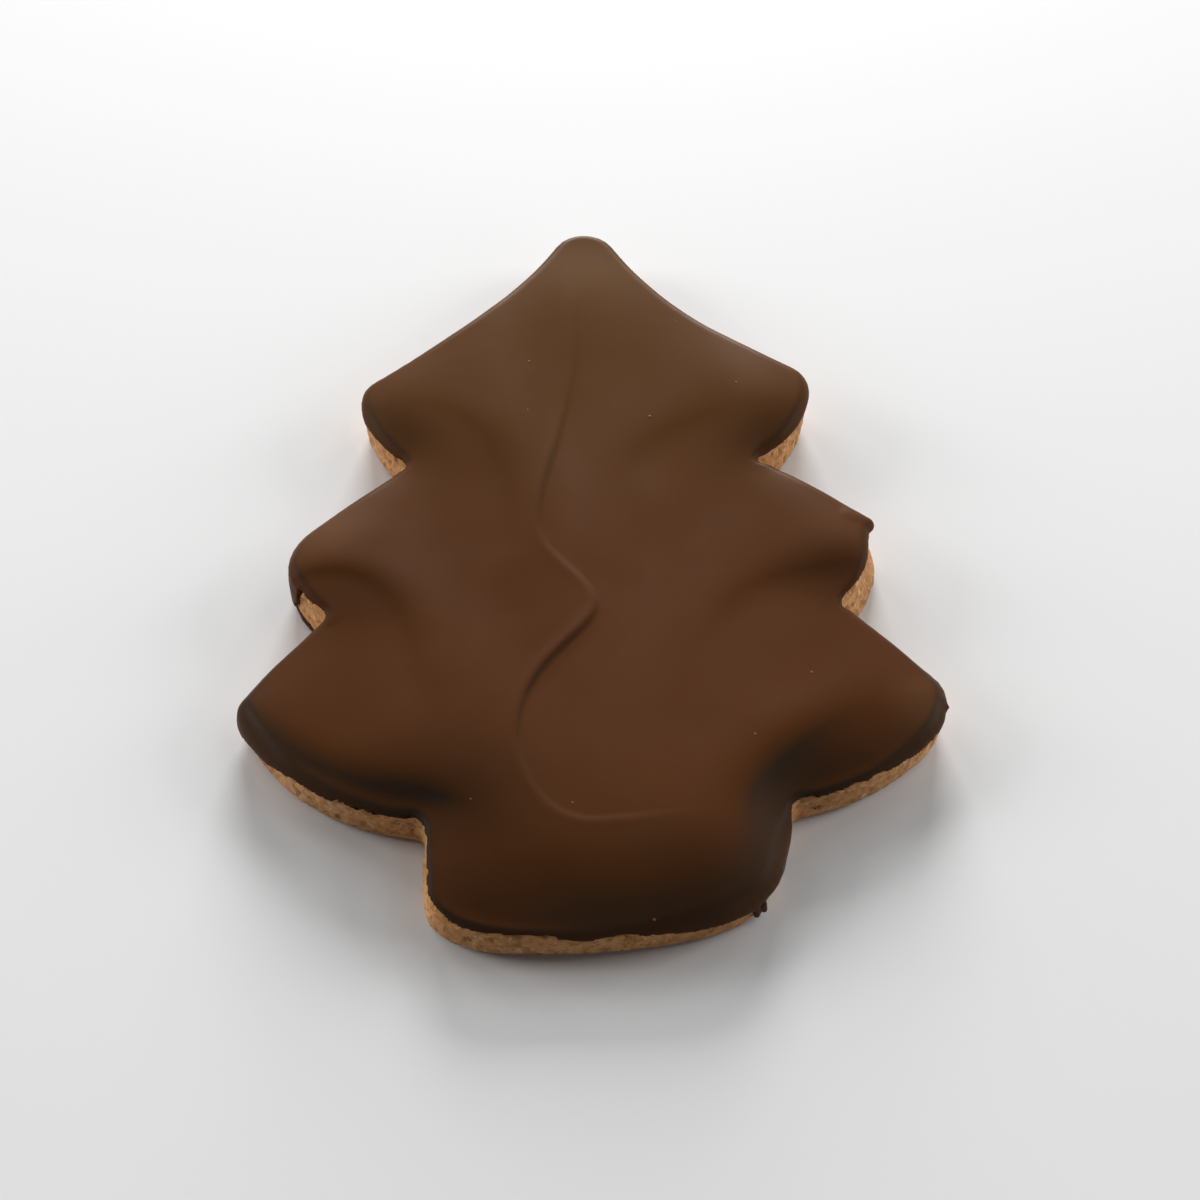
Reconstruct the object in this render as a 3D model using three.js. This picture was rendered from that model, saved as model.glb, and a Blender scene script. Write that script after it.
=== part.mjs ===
// A gingerbread biscuit cut as a three-tier fir tree, with a thick chocolate coating poured over its top.
// Millimetres, +Z up. The biscuit lies flat: +Y runs from the trunk to the tip of the tree, +X to the tree's right-hand branches.
// The origin is the centre of the footprint, on the surface that the biscuit lies on.
import * as THREE from "three";
import { mergeGeometries, mergeVertices } from "three/addons/utils/BufferGeometryUtils.js";

// ---------- outline of the tree, measured on the widest line round the biscuit ----------
// Each corner has a place, the length over which it is rounded, and the bow of the edge that leaves it
// (positive bulges out, negative is hollow). The order runs down the left side and up the right side.
const CENTRE_SHIFT = { x: 1.05, y: -57.83 };
const CORNERS = [
  { name: "crown", x: -2.35, y: 118.23, round: 5.89, bow: -2.36 },
  { name: "top_branch_left", x: -33.66, y: 83.41, round: 4.95, bow: 0.26 },
  { name: "top_notch_left", x: -25.9, y: 71.03, round: 3.37, bow: -0.16 },
  { name: "middle_branch_left", x: -42.08, y: 55.12, round: 6.94, bow: 0.06 },
  { name: "middle_notch_left", x: -34.65, y: 44.96, round: 3.41, bow: 0.15 },
  { name: "low_branch_left", x: -46.34, y: 31.7, round: 3.11, bow: 3.28 },
  { name: "trunk_notch_left", x: -21.1, y: 14.63, round: 2.77, bow: 0.02 },
  { name: "foot_left", x: -20.46, y: -1.34, round: 9.74, bow: 0.99 },
  { name: "foot_right", x: 19.84, y: 2.44, round: 7.2, bow: 0.12 },
  { name: "trunk_notch_right", x: 23.24, y: 17.95, round: 2.94, bow: 1.2 },
  { name: "low_branch_right", x: 47.56, y: 31.49, round: 9.16, bow: -0.01 },
  { name: "middle_notch_right", x: 30.88, y: 47.28, round: 3.13, bow: 0.51 },
  { name: "middle_branch_right", x: 37.59, y: 60.38, round: 4.86, bow: -0.13 },
  { name: "top_notch_right", x: 21.82, y: 71.96, round: 3.35, bow: 0.42 },
  { name: "top_branch_right", x: 29.97, y: 85.05, round: 5.4, bow: -2.24 },
];
const CORNER_STEPS = 4; // facets round each corner
const EDGE_STEPS = 5; // facets along each edge
const MIDDLE_X = -1; // the line down the middle that the rows of facets close in on
const MIDDLE_SPAN = 0.72; // its length as a share of the tree's
// Rows of facets over the top, as shares of the way from the middle to the shoulder.
const COATING_ROWS = [0.1, 0.2, 0.3, 0.4, 0.5, 0.59, 0.68, 0.77, 0.86, 0.94];

// ---------- thicknesses ----------
const FULL_HEIGHT = 8.7; // chocolate surface above the table, away from the rim
const RIM_DROP = 1.7; // how far the surface has sunk by the rim
const RIM_REACH = 2.6; // how far in from the rim that sinking reaches
const SHOULDER = 2.6; // radius of the rounded shoulder
const SHOULDER_FOOT = 5.4; // height where the shoulder turns into the side
const GAP = 0.3; // clearance between biscuit and coating
const BISCUIT_TOP = 6.05;
// side of the biscuit: height and inset from the widest line
const BISCUIT_SIDE = [
  { z: 0, inset: 1.6 },
  { z: 0.5, inset: 1.0 },
  { z: 1.3, inset: 0.65 },
  { z: 2.6, inset: 0.55 },
  { z: 4.0, inset: 0.8 },
  { z: 5.0, inset: 1.4 },
  { z: 5.65, inset: 2.3 },
];
// outer side of the coating, down to its lower edge
const COATING_SIDE = [
  { z: 0.2, inset: 0.85 },
  { z: 0.6, inset: 0.45 },
  { z: 1.4, inset: 0.05 },
  { z: 2.6, inset: -0.15 },
  { z: 4.0, inset: -0.2 },
  { z: 5.4, inset: 0 },
];

// ---------- height of the coating's lower edge at each corner, and half way along the edge that leaves it ----------
const LIP_HEIGHT = {
  crown: [2.0, 2.4],
  top_branch_left: [3.9, 5.0],
  top_notch_left: [4.6, 2.6],
  middle_branch_left: [0.5, 4.5],
  middle_notch_left: [4.2, 2.4],
  low_branch_left: [1.3, 2.9],
  trunk_notch_left: [3.4, 3.1],
  foot_left: [2.7, 2.8],
  foot_right: [0.8, 0.3],
  trunk_notch_right: [3.0, 3.2],
  low_branch_right: [1.6, 2.2],
  middle_notch_right: [4.2, 4.9],
  middle_branch_right: [3.0, 2.6],
  top_notch_right: [4.6, 5.0],
  top_branch_right: [3.4, 2.2],
};

// ---------- relief of the coating ----------
// Soft folds: a crest line (cubic curve a, b, c, d), the depth of the hollow on its low side at each end,
// how steeply the hollow starts and how far it reaches. side = 1 puts the hollow to the right of travel.
const FOLDS = [
  { name: "middle_left", a: [-37.6, -4.5], b: [-29, -3], c: [-21.5, -8], d: [-19.5, -23], from: 0.95, to: 0.1, steep: 1.5, reach: 7, side: 1 },
  { name: "top_left", a: [-29.7, 24.5], b: [-18, 29], c: [-8, 20], d: [-7.8, -3.7], from: 0.6, to: 0.35, steep: 2.6, reach: 9, side: 1 },
  { name: "top_right", a: [28.1, 25.4], b: [16, 27], c: [6, 20], d: [-0.2, 6.5], from: 0.75, to: 0.1, steep: 2.4, reach: 9, side: -1 },
  { name: "middle_right", a: [35.7, 1.0], b: [25, -1], c: [14, -7], d: [4.7, -21.5], from: 0.85, to: 0.1, steep: 1.9, reach: 8, side: -1 },
  { name: "low_right", a: [40.3, -21.5], b: [31, -21.5], c: [22, -28], d: [17.7, -36.6], from: 1.1, to: 0.7, steep: 3.2, reach: 12, side: -1 },
  { name: "low_left", a: [-42, -29.5], b: [-33, -36], c: [-24, -37], d: [-15.5, -39.5], from: 0.7, to: 0.6, steep: 2.0, reach: 7, side: 1 },
];
// The seam that the chocolate left as it ran: an S down the middle that hooks back above the trunk.
const SEAM = [
  [-2.1, 42.7], [-2.1, 33.9], [-4.2, 19], [-6.5, 4], [-3.4, -3.7], [0.7, -9.8],
  [-3.9, -18.3], [-8.2, -27], [-8, -36.6], [-0.7, -43.9], [12.8, -42.7],
];
const SEAM_STEP = 0.35; // the surface left of the seam stands this much higher
const SEAM_WIDTH = 4.0; // how far from the seam the step fades out
const SEAM_SOFTNESS = 1.6; // half the width over which the surface steps down

// ---------- curves ----------
const lerp = (a, b, t) => a + (b - a) * t;
const clamp = (v, lo, hi) => Math.min(hi, Math.max(lo, v));

// The rounded outline: for every corner a cubic that meets both edges in line, then the edge as a quadratic.
function outlineCurves() {
  const at = CORNERS.map((c) => new THREE.Vector2(c.x + CENTRE_SHIFT.x, c.y + CENTRE_SHIFT.y));
  const n = at.length;
  const edges = at.map((p, i) => {
    const q = at[(i + 1) % n];
    const length = p.distanceTo(q);
    const along = q.clone().sub(p).divideScalar(length);
    const outward = new THREE.Vector2(along.y, -along.x);
    const start = p.clone().addScaledVector(along, Math.min(CORNERS[i].round, length * 0.48));
    const end = q.clone().addScaledVector(along, -Math.min(CORNERS[(i + 1) % n].round, length * 0.48));
    const middle = start.clone().add(end).multiplyScalar(0.5).addScaledVector(outward, 2 * CORNERS[i].bow);
    return { start, middle, end };
  });
  return CORNERS.map((c, i) => {
    const before = edges[(i + n - 1) % n];
    const after = edges[i];
    const leave = before.end.clone().sub(before.middle).normalize();
    const arrive = after.middle.clone().sub(after.start).normalize();
    const chord = before.end.distanceTo(after.start);
    const turn = Math.acos(clamp(leave.dot(arrive), -1, 1));
    const handle = turn > 1e-3 ? (chord * (4 / 3) * Math.tan(turn / 4)) / (2 * Math.sin(turn / 2)) : chord / 3;
    return {
      corner: new THREE.CubicBezierCurve(
        before.end,
        before.end.clone().addScaledVector(leave, handle),
        after.start.clone().addScaledVector(arrive, -handle),
        after.start,
      ),
      edge: new THREE.QuadraticBezierCurve(after.start, after.middle, after.end),
    };
  });
}

// Points round the outline, each with its outward normal and the height of the coating's lower edge there.
function outline(cornerSteps, edgeSteps) {
  const points = [];
  const curves = outlineCurves();
  curves.forEach(({ corner, edge }, i) => {
    const here = LIP_HEIGHT[CORNERS[i].name];
    const previous = LIP_HEIGHT[CORNERS[(i + CORNERS.length - 1) % CORNERS.length].name];
    const next = LIP_HEIGHT[CORNERS[(i + 1) % CORNERS.length].name];
    for (let k = 0; k < cornerSteps; k++) {
      const t = k / cornerSteps;
      const toMiddle = 0.25 * (1 - 2 * t); // the corner's own value is reached at its middle
      const lip = toMiddle > 0 ? lerp(here[0], previous[1], toMiddle) : lerp(here[0], here[1], -toMiddle);
      points.push({ at: corner.getPoint(t), lip });
    }
    for (let k = 0; k < edgeSteps; k++) {
      const t = k / edgeSteps;
      const lip = t < 0.5 ? lerp(here[0], here[1], 0.25 + 1.5 * t) : lerp(here[1], next[0], 1.5 * (t - 0.5));
      points.push({ at: edge.getPoint(t), lip });
    }
  });
  points.forEach((p, i) => {
    const a = points[(i + points.length - 1) % points.length].at;
    const b = points[(i + 1) % points.length].at;
    const d = b.clone().sub(a).normalize();
    p.normal = new THREE.Vector2(d.y, -d.x);
  });
  return points;
}

const fine = (() => {
  const pts = [];
  for (const { corner, edge } of outlineCurves()) {
    for (let k = 0; k < 10; k++) pts.push(corner.getPoint(k / 10));
    for (let k = 0; k < 22; k++) pts.push(edge.getPoint(k / 22));
  }
  return pts;
})();

function distanceToRim(p) {
  let best = Infinity;
  for (let i = 0; i < fine.length; i++) {
    const a = fine[i];
    const b = fine[(i + 1) % fine.length];
    const dx = b.x - a.x;
    const dy = b.y - a.y;
    const t = clamp(((p.x - a.x) * dx + (p.y - a.y) * dy) / (dx * dx + dy * dy), 0, 1);
    best = Math.min(best, Math.hypot(p.x - a.x - t * dx, p.y - a.y - t * dy));
  }
  return best;
}

// How strongly the rim pulls the surface down at a point: 1 on a straight rim, fading smoothly inwards.
function rimPull(p) {
  let sum = 0;
  for (let i = 0; i < fine.length; i++) {
    const a = fine[i];
    const b = fine[(i + 1) % fine.length];
    const length = Math.hypot(b.x - a.x, b.y - a.y);
    sum += Math.exp(-Math.hypot(p.x - (a.x + b.x) / 2, p.y - (a.y + b.y) / 2) / RIM_REACH) * length;
  }
  return sum / (2 * RIM_REACH);
}

// Nearest place on a polyline: signed distance (positive to the right of travel) and share of the way along.
function beside(line, p) {
  let best = { distance: Infinity, share: 0 };
  for (let i = 0; i + 1 < line.length; i++) {
    const a = line[i];
    const b = line[i + 1];
    const dx = b.x - a.x;
    const dy = b.y - a.y;
    const t = clamp(((p.x - a.x) * dx + (p.y - a.y) * dy) / (dx * dx + dy * dy), 0, 1);
    const ex = p.x - a.x - t * dx;
    const ey = p.y - a.y - t * dy;
    const d = Math.hypot(ex, ey);
    if (d < Math.abs(best.distance)) best = { distance: (dy * ex - dx * ey > 0 ? 1 : -1) * d, share: (i + t) / (line.length - 1) };
  }
  return best;
}

const v2 = ([x, y]) => new THREE.Vector2(x, y);
const foldLines = FOLDS.map((f) => ({ ...f, line: new THREE.CubicBezierCurve(v2(f.a), v2(f.b), v2(f.c), v2(f.d)).getPoints(24) }));
const seamLine = new THREE.SplineCurve(SEAM.map(v2)).getPoints(90);

function relief(p) {
  let z = 0;
  for (const f of foldLines) {
    const { distance, share } = beside(f.line, p);
    const q = distance * f.side;
    const depth = lerp(f.from, f.to, share) * (share > 0.999 || share < 0.001 ? Math.exp(-Math.abs(distance) / 5) : 1);
    if (q > 0) z -= depth * (1 - Math.exp(-q / f.steep)) * Math.exp(-((q / f.reach) ** 2));
  }
  const s = beside(seamLine, p);
  const fade = Math.min(1, s.share * 8, (1 - s.share) * 5) * Math.exp(-Math.abs(s.distance) / SEAM_WIDTH);
  z += 0.5 * SEAM_STEP * fade * Math.tanh(s.distance / SEAM_SOFTNESS);
  return z;
}

function coatingTop(p) {
  const inside = distanceToRim(p);
  const shoulder = inside < SHOULDER ? SHOULDER - Math.sqrt(SHOULDER ** 2 - (SHOULDER - inside) ** 2) : 0;
  return FULL_HEIGHT - RIM_DROP * Math.min(1.35, rimPull(p)) - shoulder + relief(p) * clamp(inside / 5, 0, 1);
}

// ---------- solids ----------
const rim = outline(CORNER_STEPS, EDGE_STEPS);
// Every rim point looks at its own place on the line down the middle of the tree.
const middleOf = (p) => new THREE.Vector2(MIDDLE_X, p.at.y * MIDDLE_SPAN);
// The place on that sight line that lies a given distance in from the rim (or out from it).
function inFromRim(p, distance) {
  if (distance <= 0) return p.at.clone().addScaledVector(p.normal, -distance);
  let near = 0;
  let far = Math.min(1, (4 * distance + 2) / p.at.distanceTo(middleOf(p)));
  for (let k = 0; k < 24; k++) {
    const t = (near + far) / 2;
    if (distanceToRim(p.at.clone().lerp(middleOf(p), t)) < distance) near = t;
    else far = t;
  }
  return p.at.clone().lerp(middleOf(p), (near + far) / 2);
}
const towardsMiddle = (p, inset, s) => middleOf(p).lerp(inFromRim(p, inset), s);

// A closed body: a band of rows, each going round the tree, shut by a cap inside the first row and one inside the last.
// The first row's cap follows topHeight, the last one's is level.
function bodyFromRows(rows, topHeight) {
  const columns = rim.length;
  const band = new THREE.PlaneGeometry(1, 1, columns, rows.length - 1);
  const place = band.getAttribute("position");
  const laid = rows.map((row) => rim.map(row));
  laid.forEach((row, j) => {
    for (let i = 0; i <= columns; i++) {
      const { x, y, z } = row[i % columns];
      place.setXYZ(j * (columns + 1) + i, x, y, z);
    }
  });
  const cap = (row, height, facingDown) => {
    const geometry = new THREE.ShapeGeometry(new THREE.Shape(row.map(({ x, y }) => new THREE.Vector2(x, y))));
    const position = geometry.getAttribute("position");
    for (let i = 0; i < position.count; i++) position.setZ(i, height(new THREE.Vector2(position.getX(i), position.getY(i))));
    if (facingDown) geometry.getIndex().array.reverse();
    return geometry;
  };
  const level = laid.at(-1)[0].z;
  const parts = [band, cap(laid[0], topHeight, false), cap(laid.at(-1), () => level, true)];
  for (const part of parts) {
    part.deleteAttribute("uv");
    part.deleteAttribute("normal");
  }
  const body = mergeVertices(mergeGeometries(parts), 1e-3);
  body.computeVertexNormals();
  return body;
}

const point3 = (p, z) => new THREE.Vector3(p.x, p.y, z);

function insetAt(side, z) {
  const k = side.findIndex((s) => s.z >= z);
  if (k < 0) return side.at(-1).inset;
  if (k === 0) return side[0].inset;
  return lerp(side[k - 1].inset, side[k].inset, (z - side[k - 1].z) / (side[k].z - side[k - 1].z));
}

function biscuit() {
  const rows = [];
  rows.push((p) => point3(inFromRim(p, 3.4), BISCUIT_TOP));
  for (const { z, inset } of [...BISCUIT_SIDE].reverse()) rows.push((p) => point3(inFromRim(p, inset), z));
  return bodyFromRows(rows, () => BISCUIT_TOP);
}

function coating() {
  const rows = COATING_ROWS.map((s) => (p) => {
    const at = towardsMiddle(p, 2.4, s);
    return point3(at, coatingTop(at));
  });
  for (const inset of [2.4, 1.2, 0.4])
    rows.push((p) => {
      const at = inFromRim(p, inset);
      return point3(at, coatingTop(at));
    });
  const outer = (share) => (p) => {
    const z = lerp(p.lip, SHOULDER_FOOT, share);
    return point3(inFromRim(p, insetAt(COATING_SIDE, z)), z);
  };
  const inner = (share) => (p) => {
    const z = lerp(p.lip, 5.3, share);
    return point3(inFromRim(p, insetAt(BISCUIT_SIDE, z) - GAP), z);
  };
  rows.push(outer(1), outer(0.5), outer(0.06));
  rows.push((p) => point3(inFromRim(p, insetAt(COATING_SIDE, p.lip) + 0.15), p.lip));
  rows.push(inner(0.02), inner(0.3), inner(0.55), inner(0.78), inner(1));
  rows.push((p) => point3(inFromRim(p, 2.15), BISCUIT_TOP + 0.08));
  rows.push((p) => point3(inFromRim(p, 3.3), BISCUIT_TOP + GAP));
  return bodyFromRows(rows, coatingTop);
}

const gingerbread = new THREE.Mesh(
  biscuit(),
  new THREE.MeshStandardMaterial({ color: 0x9a6638, roughness: 0.9, metalness: 0 }),
);
gingerbread.name = "gingerbread_biscuit";

const chocolate = new THREE.Mesh(
  coating(),
  new THREE.MeshStandardMaterial({ color: 0x4a2c1b, roughness: 0.42, metalness: 0 }),
);
chocolate.name = "chocolate_coating";

const cookie = new THREE.Group();
cookie.add(gingerbread, chocolate);

export default cookie;
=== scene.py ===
# Gingerbread tree biscuit in a chocolate coating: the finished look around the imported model.
# The coating and the crumb are worked out as solid fields from named sizes, in millimetres, and meshed here in metres.
from math import radians

import bmesh
import bpy
import numpy as np
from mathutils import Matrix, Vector


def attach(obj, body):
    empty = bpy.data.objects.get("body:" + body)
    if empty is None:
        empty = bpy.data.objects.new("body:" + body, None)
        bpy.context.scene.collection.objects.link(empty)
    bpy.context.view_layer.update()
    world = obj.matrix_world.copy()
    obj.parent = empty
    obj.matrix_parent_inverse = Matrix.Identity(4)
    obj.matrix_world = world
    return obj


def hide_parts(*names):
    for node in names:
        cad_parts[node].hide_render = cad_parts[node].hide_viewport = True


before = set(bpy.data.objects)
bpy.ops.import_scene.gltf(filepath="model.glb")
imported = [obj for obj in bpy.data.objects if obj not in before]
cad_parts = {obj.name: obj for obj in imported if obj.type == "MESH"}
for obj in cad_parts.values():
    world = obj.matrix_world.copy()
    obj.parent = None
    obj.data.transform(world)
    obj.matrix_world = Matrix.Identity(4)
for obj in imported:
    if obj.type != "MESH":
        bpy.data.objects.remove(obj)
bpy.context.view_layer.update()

# ---------------------------------------------------------------- shape, in millimetres
# Outline of the tree on its widest line: place, rounding length, bow of the edge that leaves the corner (positive bulges out).
SHIFT = (1.05, -57.83)
CORNERS = [
    # name, x, y, round, bow
    ("crown", -2.35, 118.23, 5.89, -2.36),
    ("top_branch_left", -33.66, 83.41, 4.95, 0.26),
    ("top_notch_left", -25.9, 71.03, 1.4, -0.16),
    ("middle_branch_left", -42.08, 55.12, 6.94, 0.06),
    ("middle_notch_left", -34.65, 44.96, 1.4, 0.15),
    ("low_branch_left", -46.34, 31.7, 3.11, 3.28),
    ("trunk_notch_left", -21.1, 14.63, 1.6, 0.02),
    ("foot_left", -20.46, -1.34, 9.74, 0.99),
    ("foot_right", 19.84, 2.44, 7.2, 0.12),
    ("trunk_notch_right", 23.24, 17.95, 1.6, 1.2),
    ("low_branch_right", 47.56, 31.49, 9.16, -0.01),
    ("middle_notch_right", 30.88, 47.28, 1.4, 0.51),
    ("middle_branch_right", 37.59, 60.38, 4.86, -0.13),
    ("top_notch_right", 21.82, 71.96, 1.4, 0.42),
    ("top_branch_right", 29.97, 85.05, 5.4, -2.24),
]
N = len(CORNERS)
CORNER_STEPS, EDGE_STEPS = 8, 18

# Tables round the rim: (at the corner, half way along the edge that leaves it), in the order of CORNERS.
# Height of the chocolate's lower edge.
LIP = [(2.0, 2.4), (5.5, 6.4), (6.5, 2.6), (0.4, 7.0), (7.3, 3.4), (1.4, 5.2), (6.1, 5.6), (5.0, 4.5),
       (3.2, 0.3), (5.0, 5.1), (4.4, 2.2), (7.0, 7.0), (6.9, 3.0), (6.8, 6.5), (6.0, 2.2)]
# Stations between which that edge climbs at the left middle tip.
RISE = (3.06, 3.24)
# Where the coating stops short of the rim and the crumb slopes back: station, how far.
BARE = [(1.0, 0.0), (1.6, 0.2), (1.9, 0.5), (1.98, 0.8), (2.02, 0.6), (2.12, 0.1), (2.3, 0.0),
        (3.1, 0.0), (3.3, 0.3), (3.8, 0.45), (3.98, 0.7), (4.02, 0.5), (4.12, 0.1), (4.3, 0.0),
        (5.8, 0.0), (6.0, 0.2), (6.08, 0.35), (6.3, 0.45), (6.75, 0.6), (6.9, 0.5), (7.05, 0.2), (7.2, 0.0), (8.8, 0.0), (9.0, 0.25), (9.2, 0.0),
        (10.75, 0.0), (10.9, 0.1), (10.98, 0.6), (11.02, 0.65), (11.12, 0.35), (11.4, 0.45), (11.65, 0.85), (11.92, 1.25), (12.05, 0.8), (12.15, 0.2), (12.25, 0.0),
        (12.7, 0.0), (12.9, 0.2), (12.98, 1.2), (13.02, 1.5), (13.12, 0.8), (13.4, 0.3), (14.0, 0.0)]
# Where the crumb's foot stands out under the coating: station, how far.
FOOT = [(0.0, 0.0), (5.98, 0.0), (6.08, 0.4), (6.3, 0.75), (6.8, 0.75), (7.0, 0.4), (7.2, 0.1), (7.35, 0.0),
        (11.1, 0.0), (11.4, 0.6), (11.95, 0.75), (12.08, 0.3), (12.2, 0.0), (15.0, 0.0)]
# How far the surface sinks towards the rim: close to it, over a belt, and over a broad belt. Each has its reach.
SINKS = [
    ([(0.06, 0.18), (2.02, 1.16), (0.7, 0.6), (1.2, 0.47), (0.46, 0.6), (1.58, 0.6), (0.22, 0.59), (1.4, 1.32),
       (1.55, 1.83), (0.37, 1.17), (1.49, 0.6), (0.74, 0.14), (1.86, 0.53), (0.79, 0.85), (0, 0.13)], 2.4),
    ([(0.47, -0.48), (-0.13, -0.08), (0.56, 0.24), (-0.19, -0.17), (0.46, 0.8), (0.75, 0.39), (0.95, 0.79), (1.2, 2.39),
       (1.47, 1.95), (2.39, 1.32), (0.77, 0.8), (-0.33, -0.5), (-0.47, -0.25), (1.13, 0.26), (-0.36, -0.22)], 6.0),
    ([(1.6, -0.37), (-0.6, -0.75), (-0.63, -0.61), (-0.43, -0.12), (0.53, 1.89), (0.81, 0.33), (0.35, 0.02), (0.07, 0.19),
       (-0.08, 0.06), (0.38, -0.11), (-0.18, 0.94), (-0.75, -0.8), (-0.69, -0.29), (0.25, 0.27), (0.66, 1.68)], 14.0),
]
# Radius of the shoulder where the top turns into the side.
SHOULDER = [(1.24, 1.31), (1.5, 1.37), (1.29, 1.34), (1.68, 1.33), (1.2, 1.34), (2.35, 1.8), (1.2, 1.11), (1.1, 1.4),
       (1.97, 2.19), (1.11, 1.3), (1.94, 1.3), (1.25, 1.25), (1.43, 1.34), (1.29, 1.37), (1.55, 1.31)]
FULL = 8.5

# Folds of the coating: a crest line (cubic curve), the height of the step on its camera side at the start and the end,
# its width there and how far it fades out. side 1 puts the low side to the right of travel.
FOLDS = [
    # name, a, b, c, d, step (start, end), width (start, end), reach, side
    ("middle_left", (-37.5, -6.3), (-29.6, -3.9), (-21.8, -7.0), (-20.3, -25.7), (1.02, 0.79), (2.21, 3.02), 9.6, 1),
    ("top_left", (-33.0, 26.4), (-17.5, 24.0), (-9.5, 21.9), (-9.1, -3.0), (-0.30, 1.42), (1.81, 3.93), 7.7, 1),
    ("top_right", (30.2, 24.9), (17.4, 24.4), (4.0, 21.6), (4.5, 11.7), (-0.10, 0.99), (2.69, 4.46), 11.5, -1),
    ("middle_right", (41.2, -1.1), (23.9, -8.2), (17.7, 0.2), (9.9, -25.2), (1.73, 0.42), (3.32, 4.40), 7.8, -1),
    ("low_right", (46.1, -19.0), (33.9, -25.3), (23.5, -31.2), (19.1, -40.0), (-1.00, 2.11), (3.15, 3.03), 13.6, -1),
    ("low_left", (-43.5, -25.9), (-28.2, -41.1), (-22.5, -37.0), (-16.3, -40.6), (1.23, 1.89), (2.58, 2.71), 11.5, 1),
]
# The seam left where the pour met itself: an S down the middle that hooks back above the trunk.
SEAM = [(-2.2, 51.3), (-2.1, 42.7), (-2.1, 33.9), (-3.0, 26.3), (-4.2, 19.0), (-5.5, 12.7), (-6.5, 6.5), (-6.5, 2.2),
        (-5.7, -0.7), (-3.4, -3.7), (-0.6, -7.0), (0.7, -9.8), (0.4, -12.3), (-1.4, -15.2), (-3.9, -18.3), (-6.1, -21.5),
        (-7.8, -25.4), (-8.6, -29.2), (-8.8, -32.9), (-7.9, -36.6), (-6.0, -40.3), (-3.7, -42.7), (-0.7, -43.9),
        (3.4, -43.7), (7.5, -43.2), (12.8, -42.7)]
# share of the way along the seam: height of its step, width of the step
SEAM_STEP = [(0.0, 0.0), (0.04, 0.10), (0.15, 0.17), (0.3, 0.18), (0.42, 0.20), (0.52, 0.34), (0.62, 0.34), (0.70, 0.20), (0.80, 0.13), (0.92, 0.10), (1.0, 0.0)]
# Soft hollows and swellings: place, half lengths, turn in degrees, height.
SOFT = [
    (-16.1, -6.6, 6.3, 15.9, 26, -0.55),
    (-18.7, 9.8, 11.6, 9.2, -27, -0.47),
    (0.5, 29.5, 11.8, 15.9, 13, -1.11),
    (8.6, 7.7, 12.6, 15.9, 11, -1.18),
    (-3.8, 17.9, 5.2, 16.0, 7, -0.81),
    (-26.1, -21.2, 9.8, 15.8, 20, 0.68),
    (26.7, -29.2, 10.3, 6.0, 35, 0.62),
    (-5.2, -39.6, 9.6, 15.4, 60, 0.61),
    (-2.2, -48.9, 9.0, 5.7, -34, 0.59),
    (13.9, -47.1, 12.2, 9.3, 62, 1.19),
    (-9.7, 23.1, 5.4, 16.0, 10, 0.44),
    (21.7, 23.6, 6.4, 15.9, 14, 1.18),
    (7.0, -9.6, 12.5, 16.0, 5, -0.82),
    (-38.8, -7.3, 12.5, 5.9, -15, 0.80),
]
COARSE = 0.5


def curve(p, t):
    t = np.asarray(t, float)[:, None]
    p = [np.asarray(q, float) for q in p]
    if len(p) == 3:
        return (1 - t) ** 2 * p[0] + 2 * t * (1 - t) * p[1] + t * t * p[2]
    return (1 - t) ** 3 * p[0] + 3 * t * (1 - t) ** 2 * p[1] + 3 * t * t * (1 - t) * p[2] + t**3 * p[3]


def smooth_line(points, steps):
    p = np.array(points, float)
    p = np.vstack([2 * p[0] - p[1], p, 2 * p[-1] - p[-2]])
    t = (np.arange(steps) / steps)[:, None]
    parts = [0.5 * (2 * p[i] + (p[i + 1] - p[i - 1]) * t + (2 * p[i - 1] - 5 * p[i] + 4 * p[i + 1] - p[i + 2]) * t * t
                    + (3 * p[i] - p[i - 1] - 3 * p[i + 1] + p[i + 2]) * t**3) for i in range(1, len(p) - 2)]
    return np.vstack(parts + [p[-2][None]])


def outline():
    """Points round the tree and the station of each: corner i is at i, the middle of the edge that leaves it at i + 0.5."""
    at = np.array([[c[1] + SHIFT[0], c[2] + SHIFT[1]] for c in CORNERS])
    edges = []
    for i in range(N):
        p, q = at[i], at[(i + 1) % N]
        length = np.hypot(*(q - p))
        u = (q - p) / length
        a = p + u * min(CORNERS[i][3], length * 0.48)
        b = q - u * min(CORNERS[(i + 1) % N][3], length * 0.48)
        edges.append((a, (a + b) / 2 + np.array([u[1], -u[0]]) * 2 * CORNERS[i][4], b))
    points, stations = [], []
    for i in range(N):
        (_, m0, b0), (a1, m1, b1) = edges[i - 1], edges[i]
        leave, arrive = (b0 - m0) / np.hypot(*(b0 - m0)), (m1 - a1) / np.hypot(*(m1 - a1))
        chord = np.hypot(*(a1 - b0))
        turn = np.arccos(np.clip(leave @ arrive, -1, 1))
        handle = chord * (4 / 3 * np.tan(turn / 4)) / (2 * np.sin(turn / 2)) if turn > 1e-3 else chord / 3
        t = np.arange(CORNER_STEPS) / CORNER_STEPS
        points.append(curve([b0, b0 + leave * handle, a1 - arrive * handle, a1], t))
        stations.append(i - 0.15 + 0.3 * t)
        t = np.arange(EDGE_STEPS) / EDGE_STEPS
        points.append(curve([a1, m1, b1], t))
        stations.append(i + 0.15 + 0.7 * t)
    return np.vstack(points), np.concatenate(stations) % N


def round_rim(table, station):
    v = np.array([x for row in table for x in row], float)
    k = station * 2
    i = np.floor(k).astype(int)
    f = k - i
    f = f * f * (3 - 2 * f)
    return v[i % (2 * N)] * (1 - f) + v[(i + 1) % (2 * N)] * f


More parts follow.
